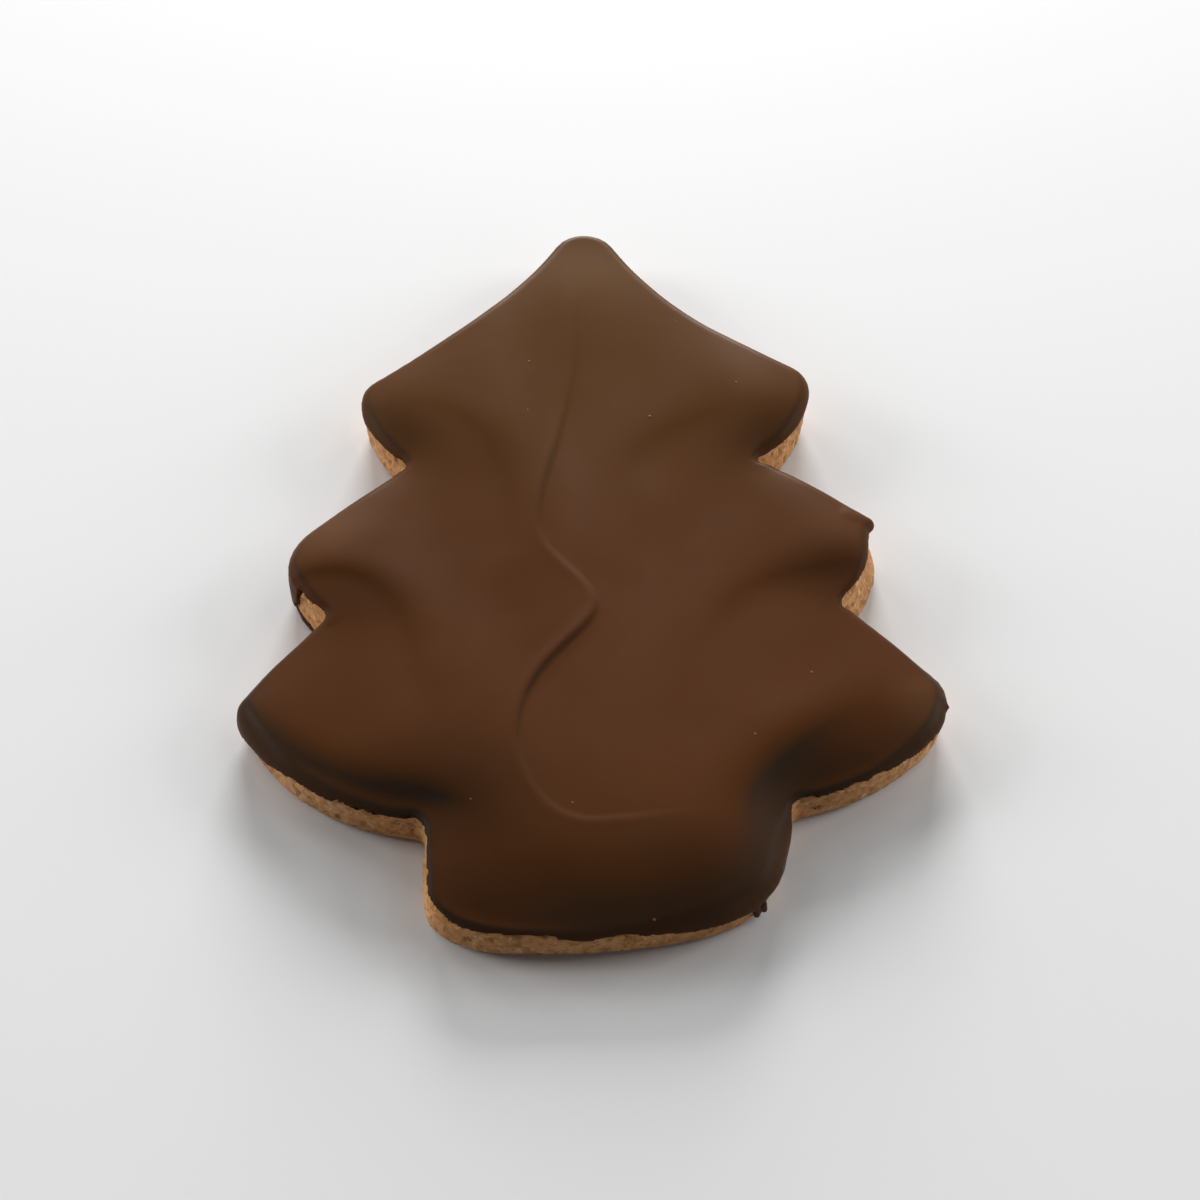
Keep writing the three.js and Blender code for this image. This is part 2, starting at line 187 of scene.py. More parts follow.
def in_chunks(function, q, size=16000):
    parts = [function(q[k:k + size]) for k in range(0, len(q), size)]
    return [np.concatenate([p[j] for p in parts]) for j in range(len(parts[0]))]


def nearest(a, d, q):
    """For points q, the nearest place on the pieces a + t*d: squared distance, piece, t, offset."""
    ex, ey = q[:, 0, None] - a[None, :, 0], q[:, 1, None] - a[None, :, 1]
    t = np.clip((ex * d[:, 0] + ey * d[:, 1]) / (d[:, 0] ** 2 + d[:, 1] ** 2), 0, 1)
    ex -= t * d[:, 0]
    ey -= t * d[:, 1]
    d2 = ex * ex + ey * ey
    j = d2.argmin(1)
    k = np.arange(len(j))
    return d2[k, j], j, t[k, j], ex[k, j], ey[k, j]


def rim_fields(q, points, stations):
    """Distance inside the rim (negative outside) and the station of the nearest rim point."""
    a, d = points, np.roll(points, -1, 0) - points
    step = (np.roll(stations, -1) - stations + N / 2) % N - N / 2

    def work(c):
        d2, j, t, _, _ = nearest(a, d, c)
        return np.sqrt(d2), (stations[j] + t * step[j]) % N
    distance, station = in_chunks(work, q)
    inside = np.zeros(len(q), bool)
    for (x0, y0), (dx, dy) in zip(a, d):
        crosses = (y0 > q[:, 1]) != (y0 + dy > q[:, 1])
        if dy:
            inside ^= crosses & (q[:, 0] < dx * (q[:, 1] - y0) / dy + x0)
    return np.where(inside, distance, -distance), station


def line_fields(q, line):
    """Signed distance to a line (positive to the right of travel) and the share of the way along."""
    a, d = line[:-1], line[1:] - line[:-1]

    def work(c):
        d2, j, t, ex, ey = nearest(a, d, c)
        side = np.where(d[j, 1] * ex - d[j, 0] * ey >= 0, 1.0, -1.0)
        return np.sqrt(d2) * side, (j + t) / len(a)
    return in_chunks(work, q)


def sinking(q, points, stations, table, reach):
    """The rim's pull on the surface, fading inwards over reach."""
    d = np.roll(points, -1, 0) - points
    weight = round_rim(table, stations) * np.hypot(d[:, 0], d[:, 1]) / (2 * reach)
    middle = points + d / 2

    def work(c):
        r = np.hypot(c[:, 0, None] - middle[None, :, 0], c[:, 1, None] - middle[None, :, 1])
        return (np.exp(-r / reach) @ weight,)
    return in_chunks(work, q)[0]


def crease(q, line, step, width, reach, side):
    """A soft step along a line that fades out smoothly at its ends and away from the line."""
    t = line[1:] - line[:-1]
    length = np.hypot(t[:, 0], t[:, 1])
    middle = line[:-1] + t / 2
    normal = np.stack([t[:, 1], -t[:, 0]], 1) / length[:, None] * -side  # towards the high side

    def work(c):
        rx, ry = c[:, 0, None] - middle[None, :, 0], c[:, 1, None] - middle[None, :, 1]
        r2 = rx * rx + ry * ry
        across = rx * normal[:, 0] + ry * normal[:, 1]
        return ((across / (r2 + width * width) * np.exp(-np.sqrt(r2) / reach) * np.where(across > 0, 0.6, 1.0)) @ (step * length) / np.pi,)
    return in_chunks(work, q)[0]


def fold(q, a, b, c, d, step, width, reach, side):
    share = (np.arange(48) + 0.5) / 48
    line = curve([a, b, c, d], np.linspace(0, 1, 49))
    return crease(q, line, step[0] + (step[1] - step[0]) * share, width[0] + (width[1] - width[0]) * share, reach, side)


def seam_steps(share):
    return np.interp(share, *np.array(SEAM_STEP).T)


def seam_swell(q):
    """The broad part of the seam's step, high on the outer side."""
    line = smooth_line(SEAM, 6)
    share = (np.arange(len(line) - 1) + 0.5) / (len(line) - 1)
    return crease(q, line, seam_steps(share), 1.1, 6.0, -1)


def seam_edge(q, step):
    """The fine part of the seam: a small lip on the high side and a crease at its foot."""
    lip = 0.55 * step * (0.5 + 0.5 * np.tanh(q / 0.3)) * np.exp(-np.clip(q, 0, None) ** 2 / 1.3**2)
    return lip - 0.35 * step * np.exp(-((q + 0.1) / 0.45) ** 2)


def grid_of(step, margin=1.6):
    x = np.arange(-43.9 - margin - 2 * step, 43.9 + margin + 3 * step, step)
    y = np.arange(-58.7 - margin - 2 * step, 58.7 + margin + 3 * step, step)
    return x, y


class Maps:
    """Smooth maps over the plan of the biscuit, on a coarse grid, read between its points with a cubic."""

    def __init__(self):
        self.x, self.y = grid_of(COARSE)
        X, Y = np.meshgrid(self.x, self.y, indexing="ij")
        q = np.stack([X.ravel(), Y.ravel()], 1)
        points, stations = outline()
        d, s = rim_fields(q, points, stations)
        base = FULL - sum(sinking(q, points, stations, table, reach) for table, reach in SINKS)
        for _, a, b, c, e, step, width, reach, side in FOLDS:
            base = base + fold(q, a, b, c, e, step, width, reach, side)
        for cx, cy, rx, ry, turn, height in SOFT:
            ct, sn = np.cos(np.radians(turn)), np.sin(np.radians(turn))
            u = ((q[:, 0] - cx) * ct + (q[:, 1] - cy) * sn) / rx
            v = ((q[:, 1] - cy) * ct - (q[:, 0] - cx) * sn) / ry
            base = base + height * np.exp(-(u * u + v * v))
        base = base + seam_swell(q)
        seam, share = line_fields(q, smooth_line(SEAM, 6))
        lip = round_rim(LIP, s)
        climb = (s > 3) & (s < 3.5)
        t = np.clip((s[climb] - RISE[0]) / (RISE[1] - RISE[0]), 0, 1)
        lip[climb] = LIP[3][0] + (LIP[3][1] - LIP[3][0]) * t * t * (3 - 2 * t)
        shape = X.shape
        self.map = {"inside": d.reshape(shape), "base": base.reshape(shape), "seam": seam.reshape(shape),
                    "lip": lip.reshape(shape), "bare": np.interp(s, *np.array(BARE).T).reshape(shape),
                    "foot": np.interp(s, *np.array(FOOT).T).reshape(shape),
                    "shoulder": round_rim(SHOULDER, s).reshape(shape),
                    "step": seam_steps(share).reshape(shape)}

    def read(self, name, x, y):
        f = self.map[name]
        u, v = (x - self.x[0]) / COARSE, (y - self.y[0]) / COARSE
        i = np.clip(np.floor(u).astype(int), 1, f.shape[0] - 3)
        j = np.clip(np.floor(v).astype(int), 1, f.shape[1] - 3)
        u, v = u - i, v - j
        wu = (-0.5 * u**3 + u * u - 0.5 * u, 1.5 * u**3 - 2.5 * u * u + 1, -1.5 * u**3 + 2 * u * u + 0.5 * u, 0.5 * u**3 - 0.5 * u * u)
        wv = (-0.5 * v**3 + v * v - 0.5 * v, 1.5 * v**3 - 2.5 * v * v + 1, -1.5 * v**3 + 2 * v * v + 0.5 * v, 0.5 * v**3 - 0.5 * v * v)
        out = 0
        for a in range(4):
            for b in range(4):
                out = out + wu[a] * wv[b] * f[i + a - 1, j + b - 1]
        return out

    def top(self, x, y):
        """Height of the chocolate's upper surface, before it rounds over into the side."""
        return self.read("base", x, y) + seam_edge(self.read("seam", x, y), self.read("step", x, y))


# ---------------------------------------------------------------- solids from fields
CHOCOLATE_STEP, BISCUIT_STEP = 0.352, 0.35
BISCUIT_TOP = 5.9
COAT = (0.55, 1.0)  # thickness of chocolate over the biscuit's top, at the rim and inside
EDGE = 0.3          # how far the biscuit's side stands inside the widest line

# Beads and threads that the chocolate left at the rim: start, end, radius at the start, radius at the end, blend.
BEADS = [
    ((33.1, 4.0, 6.2), (35.5, 3.4, 6.5), 1.4, 0.95, 1.2),     # nub at the right middle tip
    ((42.6, -24.3, 5.3), (43.7, -25.0, 5.1), 0.7, 0.22, 0.5),  # point at the right low tip
    ((19.2, -52.75, 3.0), (19.45, -52.4, 1.0), 0.52, 0.45, 0.3),   # two drips at the right foot
    ((20.1, -51.9, 2.6), (20.3, -51.7, 1.0), 0.5, 0.42, 0.3),
    ((40.8, -28.8, 1.3), (41.4, -29.4, 0.9), 0.3, 0.14, 0.2),   # short threads under the right low branch
    ((39.3, -30.2, 1.1), (39.8, -30.8, 0.8), 0.26, 0.12, 0.2),
    ((35.85, -4.3, 1.6), (36.0, -4.6, 0.9), 0.3, 0.36, 0.25),  # drop that ends the run at the right middle branch
    ((-10.5, 45.3, 6.2), (-10.9, 45.9, 6.0), 0.5, 0.45, 0.5),  # lumps on the far left edge
    ((-21.5, 33.7, 6.2), (-21.9, 34.2, 6.0), 0.45, 0.4, 0.5),
]
# Chocolate that gathered along the foot of the middle branches: from station, to station, radius at each, inset.
FOOT_RUNS = [(2.9, 3.8, 0.42, 0.27, 0.72), (11.62, 12.1, 0.24, 0.34, 0.45)]


def noise_table(seed, n=32):
    return np.random.default_rng(seed).uniform(-1, 1, (n, n, n))


def noise(table, x, y, z, scale, shift=0.0):
    """Smooth value noise in -1..1, with features about scale wide."""
    n = len(table)
    i, f = [], []
    for c in (x, y, z):
        q = (c + shift) / scale
        k = np.floor(q).astype(np.int32)
        t = q - k
        i.append(k % n)
        f.append(t * t * (3 - 2 * t))
    i, j, k = i
    u, v, w = f
    i1, j1, k1 = (i + 1) % n, (j + 1) % n, (k + 1) % n
    near = (table[i, j, k] * (1 - w) + table[i, j, k1] * w) * (1 - v) + (table[i, j1, k] * (1 - w) + table[i, j1, k1] * w) * v
    far = (table[i1, j, k] * (1 - w) + table[i1, j, k1] * w) * (1 - v) + (table[i1, j1, k] * (1 - w) + table[i1, j1, k1] * w) * v
    return near * (1 - u) + far * u


def round_max(a, b, r):
    """The larger of two distances, with a fillet of radius r between the two surfaces."""
    u, v = np.maximum(a + r, 0), np.maximum(b + r, 0)
    return np.minimum(np.maximum(a, b), -r) + np.sqrt(u * u + v * v)


def soft_min(a, b, k):
    h = np.clip(0.5 + 0.5 * (b - a) / k, 0, 1)
    return b + (a - b) * h - k * h * (1 - h)


def capsule(p, a, b, ra, rb):
    a, b = np.asarray(a, float), np.asarray(b, float)
    d = b - a
    t = np.clip(((p - a) @ d) / (d @ d), 0, 1)
    return np.linalg.norm(p - a - t[:, None] * d, axis=1) - (ra + (rb - ra) * t)


def ease(t):
    t = np.clip(t, 0, 1)
    return t * t * (3 - 2 * t)


def rim_plan(maps, x, y):
    """What both solids share over the plan: the rim, the coating's upper surface and the biscuit's top under it."""
    d, r, bare = maps.read("inside", x, y), maps.read("shoulder", x, y), maps.read("bare", x, y)
    top = maps.top(x, y)
    brow = top - r + np.sqrt(np.maximum(r * r - np.clip(r - np.maximum(d - bare, 0.05), 0, None) ** 2, 0))
    lip = np.maximum(maps.read("lip", x, y), 0.12)
    coat = COAT[0] + (COAT[1] - COAT[0]) * ease(d / 4)
    baked = np.maximum(np.minimum(BISCUIT_TOP, brow - coat), lip + 0.3 - 1.5 * np.clip(d - 2.5, 0, None))
    return {"d": d, "r": r, "top": top, "lip": lip, "baked": baked, "bare": bare, "foot": maps.read("foot", x, y)}


def biscuit_form(g, z):
    """The smooth body of the biscuit, before its crumb."""
    side = EDGE + 0.72 * np.exp(-np.maximum(z, 0) / 1.2) + g["bare"] * ease(z / 6.0) - g["foot"] * (1 - ease(z / 5.0)) - g["d"]
    return round_max(side, z - g["baked"], 0.8)


class Chocolate:
    def __init__(self, maps):
        self.maps = maps
        self.rough = noise_table(11)
        points, stations = outline()
        along = np.roll(points, -1, 0) - np.roll(points, 1, 0)
        inward = np.stack([-along[:, 1], along[:, 0]], 1) / np.hypot(along[:, 0], along[:, 1])[:, None]
        self.runs = []
        for lo, hi, start, end, inset in FOOT_RUNS:
            line = (points + inward * inset)[(stations > lo) & (stations < hi)][::2]
            self.runs.append((line, np.linspace(start, end, len(line))))

    def plan(self, x, y):
        g = rim_plan(self.maps, x, y)
        wave = 0.20 * noise(self.rough, x, y, 0 * x, 2.3) + 0.25 * noise(self.rough, x, y, 0 * x, 7.0, 50)
        g["edge"] = np.maximum(g["lip"] + wave * np.clip(g["lip"] / 1.5, 0.1, 1), 0.12)
        return g

    def value(self, g, x, y, z):
        d, edge = g["d"], g["edge"]
        lean = 0.85 * np.exp(-np.maximum(z, 0) / 1.0) + g["bare"] * ease(z / 6.0)
        swell = 0.10 * np.exp(-((z - edge - 0.8) / 0.7) ** 2)
        side = -(d + 0.02 + swell - lean + 0.05 * noise(self.rough, x, y, z, 4.0, 20))
        body = round_max((z - g["top"]) * 0.97, side, g["r"])
        skin = 0.20 + 0.14 * ease((z - edge) / 1.2)
        coat = soft_min(body, biscuit_form(g, z) - skin, 0.45)
        under = edge + (g["baked"] - 0.15 - edge) * ease((d - g["bare"] - 0.7) / 1.1)
        f = round_max(coat, under - z, 0.14)
        p = np.stack([x, y, np.broadcast_to(z, x.shape)], 1)
        for a, b, ra, rb, blend in BEADS:
            c = (np.asarray(a) + np.asarray(b)) / 2
            near = (np.abs(x - c[0]) < 3.5) & (np.abs(y - c[1]) < 3.5) & (np.abs(p[:, 2] - c[2]) < 3.5)
            if near.any():
                f[near] = soft_min(f[near], capsule(p[near], a, b, ra, rb), blend)
        for line, radius in self.runs:
            lo, hi = line.min(0) - 2, line.max(0) + 2
            near = (x > lo[0]) & (x < hi[0]) & (y > lo[1]) & (y < hi[1]) & (p[:, 2] < 3)
            if near.any():
                run = np.full(near.sum(), 9.0)
                for q, r, u, v in zip(line[:-1], line[1:], radius[:-1], radius[1:]):
                    run = np.minimum(run, capsule(p[near], (*q, 0.5), (*r, 0.5), u, v))
                f[near] = soft_min(f[near], run, 0.25)
        return f


class Biscuit:
    def __init__(self, maps):
        self.maps = maps
        self.grain = noise_table(5)

    def plan(self, x, y):
        g, n = rim_plan(self.maps, x, y), self.grain
        g["low"] = np.clip(noise(n, x, y, 0 * x, 2.2, 33) - 0.25, 0, 1) * 0.3 + np.clip(noise(n, x, y, 0 * x, 0.9, 90) - 0.35, 0, 1) * 0.35
        return g

    def value(self, g, x, y, z):
        n = self.grain
        z = np.broadcast_to(z, x.shape)
        f = biscuit_form(g, z)
        near = (np.abs(g["d"] - EDGE) < 2.0) & (z < g["lip"] + 0.8)
        q = (x[near], y[near], z[near])
        pits = np.clip(noise(n, *q, 0.95, 210) - 0.5, 0, 1) * 0.9 + np.clip(noise(n, *q, 0.6, 300) - 0.5, 0, 1) * 0.5
        f[near] += pits - 0.08 * noise(n, *q, 3.1) - 0.07 * noise(n, *q, 1.25, 70) - 0.05 * noise(n, *q, 0.62, 140)
        return round_max(f, g["low"] - z, 0.7)


def part_sheets(f):
    """Fills the grid points where two sheets would meet along one edge of the mesh."""
    for _ in range(8):
        found = 0
        for axis in range(3):
            g = np.moveaxis(f, axis, 0)
            a, b, c, d = g[:, :-1, :-1], g[:, 1:, 1:], g[:, 1:, :-1], g[:, :-1, 1:]
            for p, q, r, s in ((a, b, c, d), (c, d, a, b)):
                bad = (p < 0) & (q < 0) & (r >= 0) & (s >= 0)
                found += bad.sum()
                r[bad] = -0.004
        if not found:
            return


def surface_net(solid, step, low, high):
    """A closed mesh of quads round a solid's inside, with its vertices on the surface."""
    axes = [l + step * np.arange(int(np.ceil((h - l) / step)) + 1) for l, h in zip(low, high)]
    nx, ny, nz = (len(a) for a in axes)
    X, Y = (a.ravel() for a in np.meshgrid(axes[0], axes[1], indexing="ij"))
    plan = solid.plan(X, Y)
    f = np.empty((nx, ny, nz))
    for k, z in enumerate(axes[2]):
        f[:, :, k] = solid.value(plan, X, Y, z).reshape(nx, ny)
    part_sheets(f)
    inside = f < 0
    cell = np.zeros((nx - 1) * (ny - 1) * (nz - 1))
    total = [np.zeros(len(cell)) for _ in range(3)]
    cid = np.arange(len(cell)).reshape(nx - 1, ny - 1, nz - 1)
    faces = []
    for axis in range(3):
        a, b = [slice(None)] * 3, [slice(None)] * 3
        a[axis], b[axis] = slice(0, -1), slice(1, None)
        fa, fb = f[tuple(a)], f[tuple(b)]
        cross = inside[tuple(a)] != inside[tuple(b)]
        idx = np.argwhere(cross)
        pos = idx.astype(float)
        pos[:, axis] += fa[cross] / (fa[cross] - fb[cross])
        u, v = (axis + 1) % 3, (axis + 2) % 3
        ring = []
        for du, dv in ((-1, -1), (0, -1), (0, 0), (-1, 0)):
            c = idx.copy()
            c[:, u] += du
            c[:, v] += dv
            n = cid[c[:, 0], c[:, 1], c[:, 2]]
            ring.append(n)
            cell += np.bincount(n, minlength=len(cell))
            for k in range(3):
                total[k] += np.bincount(n, weights=pos[:, k], minlength=len(cell))
        quad = np.stack(ring, 1)
        flip = ~inside[tuple(a)][cross]
        quad[flip] = quad[flip][:, ::-1]
        faces.append(quad)
    used = np.flatnonzero(cell)
    number = np.full(len(cell), -1)
    number[used] = np.arange(len(used))
    p = np.stack([t[used] / cell[used] for t in total], 1) * step + np.array([a[0] for a in axes])
    # bring every vertex onto the surface
    e = 0.06
    at = lambda x, y, z: solid.value(solid.plan(x, y), x, y, z)
    x, y, z = p.T
    here = solid.plan(x, y)
    f0 = solid.value(here, x, y, z)
    g = np.stack([at(x + e, y, z) - f0, at(x, y + e, z) - f0, solid.value(here, x, y, z + e) - f0], 1) / e
    move = -f0[:, None] * g / np.maximum((g * g).sum(1), 0.25)[:, None]
    size = np.linalg.norm(move, axis=1)[:, None]
    p = p + move * np.minimum(1, 0.45 * step / np.maximum(size, 1e-9))
    return tidy(p, number[np.concatenate(faces)])


def tidy(p, faces):
    """Keeps the large closed bodies and drops crumbs of surface."""
    label = np.arange(len(p))
    while True:
        low = label[faces].min(1)
        new = label.copy()
        for k in range(4):
            np.minimum.at(new, faces[:, k], low)
        new = new[new]
        if (new == label).all():
            break
        label = new
    sizes = np.bincount(label[faces[:, 0]], minlength=len(p))
    faces = faces[sizes[label[faces[:, 0]]] > 1000]
    used = np.unique(faces)
    number = np.full(len(p), -1)
    number[used] = np.arange(len(used))
    return p[used], number[faces]


def merge_level(p, faces, height, step, corner, block=4):
    """Swaps the fine quads of a level hidden face for large ones, joined to the fine border by fans."""
    level = np.abs(p[:, 2] - height) < 1e-3
    p[level, 2] = height
    whole = level[faces].all(1)
    place = (p[:, :2] - np.array(corner[:2])) / step - 0.5
    spot = np.rint(place).astype(int)
    square = np.abs(place - spot).max(1) < 0.02
    whole &= square[faces].all(1)
    low = spot[faces[whole]].min(1)
    span = spot[faces[whole]].max(1) - low
    quads = np.flatnonzero(whole)[(span == 1).all(1)]
    low = low[(span == 1).all(1)]
    shape = (spot.max(0) // block + 2) * block
    vertex = np.full(tuple(shape + 1), -1)
    flat = np.zeros(tuple(shape), bool)
    flat[low[:, 0], low[:, 1]] = True
    for k in range(4):
        v = faces[quads, k]
        vertex[spot[v, 0], spot[v, 1]] = v
    full = flat.reshape(shape[0] // block, block, shape[1] // block, block).all((1, 3))
    up = np.cross(p[faces[quads[0], 1]] - p[faces[quads[0], 0]], p[faces[quads[0], 2]] - p[faces[quads[0], 0]])[2] > 0
    plain, fans, extra = [], [], []
    b = block
    for i, j in np.argwhere(full):
        x, y = i * b, j * b
        sides = [([(x + k, y) for k in range(b)], full[i, j - 1] if j else False),
                 ([(x + b, y + k) for k in range(b)], full[i + 1, j] if i + 1 < full.shape[0] else False),
                 ([(x + b - k, y + b) for k in range(b)], full[i, j + 1] if j + 1 < full.shape[1] else False),
                 ([(x, y + b - k) for k in range(b)], full[i - 1, j] if i else False)]
        ring = [int(vertex[q]) for side, joined in sides for q in (side[:1] if joined else side)]
        if not up:
            ring = ring[::-1]
        if len(ring) == 4:
            plain.append(ring)
            continue
        centre = len(p) + len(extra)
        extra.append(p[[vertex[x, y], vertex[x + b, y + b]]].mean(0))
        fans += [(centre, q, r) for q, r in zip(ring, ring[1:] + ring[:1])]
    gone = np.zeros(len(faces), bool)
    gone[quads] = full[low[:, 0] // b, low[:, 1] // b]
    p = np.vstack([p] + ([extra] if extra else []))
    quads = np.concatenate([faces[~gone], np.array(plain, int).reshape(-1, 4)])
    tris = np.array(fans, int).reshape(-1, 3)
    used = np.unique(np.concatenate([quads.ravel(), tris.ravel()]))
    number = np.full(len(p), -1)
    number[used] = np.arange(len(used))
    return p[used], number[quads], number[tris]


# ---------------------------------------------------------------- meshes
MM = 0.001


def mesh_object(name, points, *faces):
    """A smooth mesh in metres from arrays of faces."""
    mesh = bpy.data.meshes.new(name)
    faces = [f for f in faces if len(f)]
    corners = np.concatenate([np.full(len(f), f.shape[1]) for f in faces])
    mesh.vertices.add(len(points))
    mesh.vertices.foreach_set("co", (points * MM).astype(np.float32).ravel())
    mesh.loops.add(int(corners.sum()))
    mesh.loops.foreach_set("vertex_index", np.concatenate([f.ravel() for f in faces]).astype(np.int32))
    mesh.polygons.add(len(corners))
    mesh.polygons.foreach_set("loop_start", (np.cumsum(corners) - corners).astype(np.int32))
    mesh.polygons.foreach_set("use_smooth", np.ones(len(corners), bool))
    mesh.update(calc_edges=True)
    mesh.validate()
    ob = bpy.data.objects.new(name, mesh)
    bpy.context.scene.collection.objects.link(ob)
    return ob


maps = Maps()
LOW, HIGH = (-45.2, -60.0), (45.2, 60.2)
net = surface_net(Chocolate(maps), CHOCOLATE_STEP, (*LOW, -0.2), (*HIGH, 9.5))
shell = mesh_object("chocolate_shell", *merge_level(*net, BISCUIT_TOP - 0.15, CHOCOLATE_STEP, LOW))
net = surface_net(Biscuit(maps), BISCUIT_STEP, (*LOW, -0.5), (*HIGH, 8.9))
crumb = mesh_object("gingerbread_crumb", *merge_level(*net, BISCUIT_TOP, BISCUIT_STEP, LOW))

# Small bubbles that set in the chocolate: place, radius.
BUBBLES = [(-8.6, 32.0, 0.21), (7.7, 22.4, 0.24), (19.3, 27.1, 0.2), (27.0, -22.1, 0.2), (19.7, -31.7, 0.18),
           (-2.2, -41.9, 0.17), (7.3, -56.3, 0.2), (-8.6, 22.6, 0.16), (-14.2, -41.0, 0.14), (11.5, 40.2, 0.14)]


def domes(name, places):
    """Low round domes standing on the coating."""
    bm = bmesh.new()
    for x, y, r in places:
        z = float(maps.top(np.array([x]), np.array([y]))[0])
        made = bmesh.ops.create_icosphere(bm, subdivisions=3, radius=r * MM)["verts"]
        for v in made:
            v.co.z *= 0.35
            v.co += Vector((x, y, z - 0.015)) * MM
    for f in bm.faces:
        f.smooth = True
    mesh = bpy.data.meshes.new(name)
    bm.to_mesh(mesh)
    bm.free()
    ob = bpy.data.objects.new(name, mesh)
    bpy.context.scene.collection.objects.link(ob)
    return ob


bubbles = domes("chocolate_bubbles", BUBBLES)


# ---------------------------------------------------------------- materials
class Nodes:
    """Short helpers for building a node material on object coordinates."""

    def __init__(self, name):
        self.material = bpy.data.materials.new(name)
        self.material.use_nodes = True
        self.tree = self.material.node_tree
        self.shader = self.tree.nodes["Principled BSDF"]
        self.place = self.tree.nodes.new("ShaderNodeTexCoord").outputs["Object"]

    def node(self, kind, **settings):
        n = self.tree.nodes.new(kind)
        for k, v in settings.items():
            setattr(n, k, v)
        return n

    def link(self, a, b):
        self.tree.links.new(a, b)

    def noise(self, scale, detail=3.0, rough=0.55, stretch=None, distortion=0.0):
        n = self.node("ShaderNodeTexNoise")
        n.inputs["Scale"].default_value = scale
        n.inputs["Detail"].default_value = detail
        n.inputs["Roughness"].default_value = rough
        n.inputs["Distortion"].default_value = distortion
        source = self.place
        if stretch:
            m = self.node("ShaderNodeMapping")
            m.inputs["Scale"].default_value = stretch
            self.link(source, m.inputs["Vector"])
            source = m.outputs["Vector"]
        self.link(source, n.inputs["Vector"])
        return n.outputs["Fac"]

    def cells(self, scale, feature="F1"):
        n = self.node("ShaderNodeTexVoronoi", feature=feature)
        n.inputs["Scale"].default_value = scale
        self.link(self.place, n.inputs["Vector"])
        return n.outputs["Distance"]

    def span(self, value, low, high, to_low=0.0, to_high=1.0, smooth=True):
        n = self.node("ShaderNodeMapRange", interpolation_type="SMOOTHSTEP" if smooth else "LINEAR")
        for k, v in (("From Min", low), ("From Max", high), ("To Min", to_low), ("To Max", to_high)):
            n.inputs[k].default_value = v
        self.link(value, n.inputs["Value"])
        return n.outputs["Result"]

    def math(self, operation, a, b):
        n = self.node("ShaderNodeMath", operation=operation)
        for k, v in enumerate((a, b)):
            if isinstance(v, (int, float)):
                n.inputs[k].default_value = v
            else:
                self.link(v, n.inputs[k])
        return n.outputs[0]

    def mix(self, factor, a, b, blend="MIX"):
        n = self.node("ShaderNodeMix", data_type="RGBA", blend_type=blend)
        for k, v in ((0, factor), (6, a), (7, b)):
            if isinstance(v, (int, float)):
                n.inputs[k].default_value = v
            elif isinstance(v, tuple):
                n.inputs[k].default_value = (*v, 1.0)
            else:
                self.link(v, n.inputs[k])
        return n.outputs[2]

    def bump(self, height, strength, distance, under=None):
        n = self.node("ShaderNodeBump")
        n.inputs["Strength"].default_value = strength
        n.inputs["Distance"].default_value = distance
        self.link(height, n.inputs["Height"])
        if under is not None:
            self.link(under, n.inputs["Normal"])
        return n.outputs["Normal"]


# painted shade colour and painted sheen colour for the coating
PAINTED_SHADE, PAINTED_SHEEN = (0.020, 0.0115, 0.0060), (0.165, 0.088, 0.040)
# Painted shade and painted sheen on the coating: centre, half lengths, turn in degrees, share, colour.
PAINTED_SHADE_AND_SHEEN = [
    (-25.5, 19.0, 11.0, 7.0, -35, 0.36, PAINTED_SHADE),
    (23.5, 18.5, 12.0, 8.0, 35, 0.38, PAINTED_SHADE),
    (-29.0, -9.0, 11.0, 8.0, -20, 0.30, PAINTED_SHADE),
    (30.5, -5.0, 11.0, 8.0, 25, 0.40, PAINTED_SHADE),
    (27.5, -36.0, 11.0, 7.0, 20, 0.42, PAINTED_SHADE),
    (-17.0, -40.0, 17.0, 14.0, 0, 0.46, PAINTED_SHADE),
    (-13.0, -53.0, 12.0, 7.0, 0, 0.34, PAINTED_SHADE),
    (12.0, -50.0, 14.0, 8.0, 0, 0.26, PAINTED_SHADE),
    (2.0, -47.0, 20.0, 9.0, 0, 0.20, PAINTED_SHADE),
    (0.5, 50.0, 11.0, 10.0, 0, 0.30, PAINTED_SHEEN),
    (41.0, -26.0, 7.0, 6.0, 0, 0.26, PAINTED_SHEEN),
    (-33.0, 2.5, 9.0, 6.0, 20, 0.30, PAINTED_SHEEN),
]


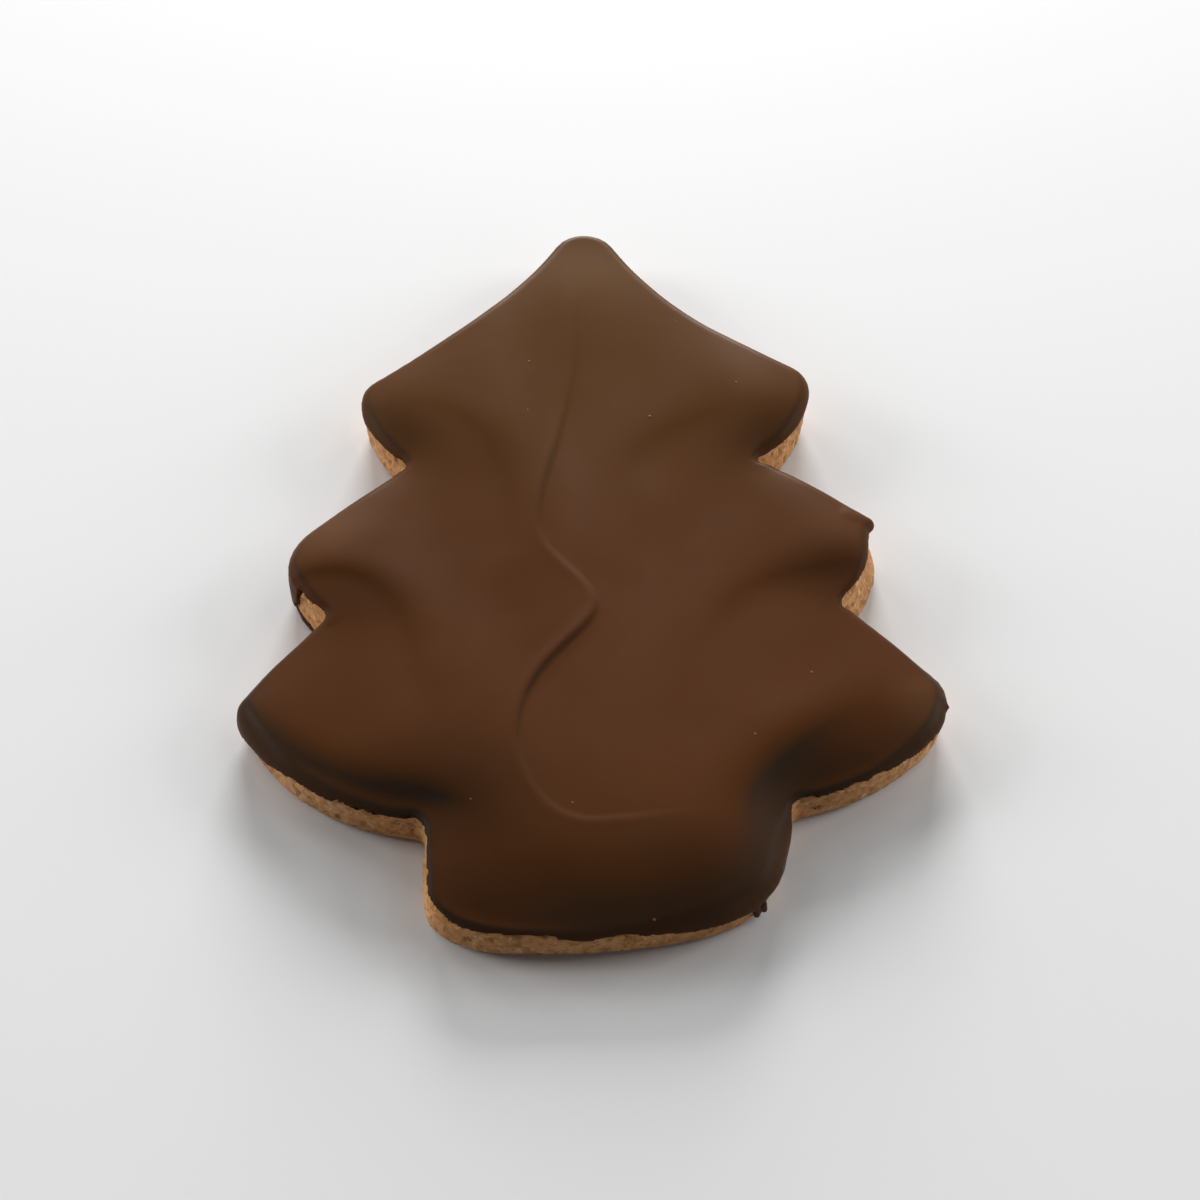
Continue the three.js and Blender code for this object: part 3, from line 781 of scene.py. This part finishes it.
def chocolate_material(name="set_milk_chocolate", pale=0.0):
    k = Nodes(name)
    cloud = k.noise(55, 3, 0.5)
    bloom = k.noise(230, 4, 0.6, stretch=(1.0, 0.6, 1.0))
    fine = k.noise(2100, 3, 0.6)
    colour = k.mix(k.span(cloud, 0.3, 0.7), (0.0782, 0.0278, 0.0092), (0.0845, 0.0308, 0.0104))
    colour = k.mix(k.span(bloom, 0.5, 0.8, 0.0, 0.10), colour, (0.098, 0.042, 0.018))
    colour = k.mix(k.span(fine, 0.6, 0.8, 0.0, 0.14), colour, (0.045, 0.017, 0.006))
    # painted sheen: paler and more olive towards the tip of the tree, where the light from behind falls on it
    along = k.node("ShaderNodeSeparateXYZ")
    k.link(k.place, along.inputs[0])
    colour = k.mix(k.span(along.outputs["Y"], -0.015, 0.055, 0.0, 0.9), colour, (0.1040, 0.0460, 0.0145))
    # painted shade under the brows and above the trunk, and painted sheen at the tips
    for x, y, across, along_y, turn, share, painted_tone in PAINTED_SHADE_AND_SHEEN:
        m = k.node("ShaderNodeMapping", vector_type="TEXTURE")
        m.inputs["Location"].default_value = (x / 1000, y / 1000, 0.0)
        m.inputs["Rotation"].default_value = (0.0, 0.0, radians(turn))
        m.inputs["Scale"].default_value = (across / 1000, along_y / 1000, 1.0)
        k.link(k.place, m.inputs["Vector"])
        away = k.node("ShaderNodeVectorMath", operation="LENGTH")
        k.link(m.outputs["Vector"], away.inputs[0])
        colour = k.mix(k.span(away.outputs["Value"], 0.0, 1.0, share, 0.0), colour, painted_tone)
    # painted shade: darker where the coating slopes down towards the sides, most at the front of the tree
    axes = k.node("ShaderNodeSeparateXYZ")
    k.link(k.node("ShaderNodeNewGeometry").outputs["Normal"], axes.inputs[0])
    front_shade = k.span(along.outputs["Y"], -0.026, -0.014, 1.0, 0.0)
    near = k.math("MULTIPLY", front_shade, k.span(axes.outputs["Z"], 0.15, 0.75, 0.60, 1.0))
    far = k.math("MULTIPLY", k.math("SUBTRACT", 0.45, k.math("MULTIPLY", front_shade, 0.45)), k.span(axes.outputs["Z"], 0.58, 0.91, 0.10, 1.0))
    side = k.math("MULTIPLY", k.span(axes.outputs["Z"], 0.895, 0.985, 0.40, 0.0), k.math("ADD", near, far))
    # painted shade colour mixed in on the slopes
    colour = k.mix(side, colour, (0.0, 0.019, 0.019))
    # painted glint: the bubbles' coating is mixed toward a pale colour so that they look lit
    if pale:
        colour = k.mix(pale, colour, (0.42, 0.16, 0.075))
    k.link(colour, k.shader.inputs["Base Color"])
    k.link(k.span(k.noise(120, 4, 0.6), 0.3, 0.75, 0.34, 0.42), k.shader.inputs["Roughness"])
    k.shader.inputs["Specular IOR Level"].default_value = 0.02
    ripple = k.bump(k.noise(420, 3, 0.5), 0.08, 0.00010)
    k.link(k.bump(fine, 0.14, 0.00003, ripple), k.shader.inputs["Normal"])
    return k.material


def gingerbread_material():
    k = Nodes("baked_gingerbread")
    patch = k.noise(140, 4, 0.6)
    grain = k.noise(900, 5, 0.65)
    colour = k.mix(k.span(patch, 0.3, 0.7), (0.45, 0.215, 0.078), (0.60, 0.315, 0.130))
    colour = k.mix(k.span(grain, 0.45, 0.66, 0.0, 0.75), colour, (0.27, 0.115, 0.038))
    colour = k.mix(k.span(k.noise(1300, 3, 0.6), 0.56, 0.68, 0.0, 0.5), colour, (0.80, 0.52, 0.26))
    # specks of spice and caramelised sugar, and open pores with painted shade in them
    speck = k.span(k.cells(1250), 0.10, 0.26, 1.0, 0.0)
    colour = k.mix(k.math("MULTIPLY", speck, k.span(k.noise(300, 2, 0.5), 0.5, 0.62)), colour, (0.09, 0.035, 0.014))
    pore = k.span(k.cells(700), 0.08, 0.34, 1.0, 0.0)
    pore = k.math("MULTIPLY", pore, k.span(k.noise(210, 2, 0.5), 0.42, 0.6))
    # painted shade: the open pores are darkened
    colour = k.mix(k.math("MULTIPLY", pore, 0.6), colour, (0.15, 0.06, 0.022))
    # flour-pale patches here and there, and the browned foot where it met the baking sheet
    colour = k.mix(k.span(k.noise(75, 3, 0.6), 0.56, 0.78, 0.0, 0.45), colour, (0.68, 0.42, 0.235))
    axes = k.node("ShaderNodeSeparateXYZ")
    k.link(k.place, axes.inputs[0])
    foot = k.math("ADD", axes.outputs["Z"], k.math("MULTIPLY", patch, 0.0008))
    colour = k.mix(k.span(foot, 0.0004, 0.0013, 0.7, 0.0), colour, (0.26, 0.105, 0.036))
    k.link(colour, k.shader.inputs["Base Color"])
    k.link(k.span(grain, 0.3, 0.7, 0.78, 0.92), k.shader.inputs["Roughness"])
    k.shader.inputs["Specular IOR Level"].default_value = 0.25
    rough = k.bump(grain, 0.6, 0.00018)
    k.link(k.bump(k.math("SUBTRACT", 1.0, pore), 0.7, 0.00024, rough), k.shader.inputs["Normal"])
    return k.material


chocolate, gingerbread = chocolate_material(), gingerbread_material()
# painted glint on the bubbles: the coating colour made paler
glint_chocolate = chocolate_material("set_chocolate_painted_glint", 0.35)
for piece, material, slot in ((shell, chocolate, "chocolate"), (bubbles, glint_chocolate, "chocolate"), (crumb, gingerbread, "gingerbread")):
    piece.data.materials.append(material)
    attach(piece, "root")
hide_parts("chocolate_coating")
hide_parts("gingerbread_biscuit")


# ---------------------------------------------------------------- stage, light and camera
def stage_floor():
    bm = bmesh.new()
    bmesh.ops.create_grid(bm, x_segments=2, y_segments=2, size=3.0)
    for v in bm.verts:
        v.co.z = -0.00004
    mesh = bpy.data.meshes.new("stage_floor")
    bm.to_mesh(mesh)
    bm.free()
    floor = bpy.data.objects.new("stage_floor", mesh)
    bpy.context.scene.collection.objects.link(floor)
    k = Nodes("pale_stage")
    k.shader.inputs["Base Color"].default_value = (0.80, 0.80, 0.80, 1)
    k.shader.inputs["Roughness"].default_value = 0.6
    k.shader.inputs["Specular IOR Level"].default_value = 0.2
    mesh.materials.append(k.material)


def area_light(name, azimuth, elevation, distance, width, height, power):
    """A soft panel that faces the biscuit. Azimuth 0 is behind it (+Y), 90 to its right."""
    data = bpy.data.lights.new(name, "AREA")
    data.shape, data.size, data.size_y, data.energy = "RECTANGLE", width, height, power
    light = bpy.data.objects.new(name, data)
    a, e = radians(azimuth), radians(elevation)
    place = Vector((np.sin(a) * np.cos(e), np.cos(a) * np.cos(e), np.sin(e))) * distance
    light.location = place
    light.rotation_euler = (-place).to_track_quat("-Z", "Y").to_euler()
    bpy.context.scene.collection.objects.link(light)
    return light


stage_floor()
# Soft panels in a low ring behind and beside the biscuit, as in a light tent: azimuth, elevation, strength.
RING = [(0, 15, 1.55), (40, 30, 0.13), (-40, 30, 0.22), (76, 20, 0.48), (-76, 20, 0.52), (80, 55, 0.09), (-80, 55, 0.04),
        (125, 15, 0.08), (-125, 15, 0.05)]
for azimuth, elevation, strength in RING:
    area_light(f"panel_{azimuth}_{elevation}", azimuth, elevation, 1.4, 0.62, 0.62, strength * np.pi**2 * 1.4**2)

world = bpy.data.worlds.new("soft_room")
bpy.context.scene.world = world
world.use_nodes = True
world.node_tree.nodes["Background"].inputs["Color"].default_value = (1, 1, 1, 1)
world.node_tree.nodes["Background"].inputs["Strength"].default_value = 0.0

camera_data = bpy.data.cameras.new("camera")
camera_data.lens, camera_data.sensor_width = 79.8, 36
camera_data.clip_start, camera_data.clip_end = 0.01, 20
camera = bpy.data.objects.new("camera", camera_data)
camera.location = (0.00105, -0.22343, 0.2647)
camera.rotation_euler = (radians(39.7), 0, 0)
bpy.context.scene.collection.objects.link(camera)
bpy.context.scene.camera = camera
bpy.context.scene.view_settings.view_transform = "Standard"
bpy.context.scene.view_settings.look = "None"
bpy.context.scene.view_settings.exposure = 0.0
bpy.context.scene.view_settings.gamma = 1.0


def plain(box):
    return [[float(c) for c in corner] for corner in box]
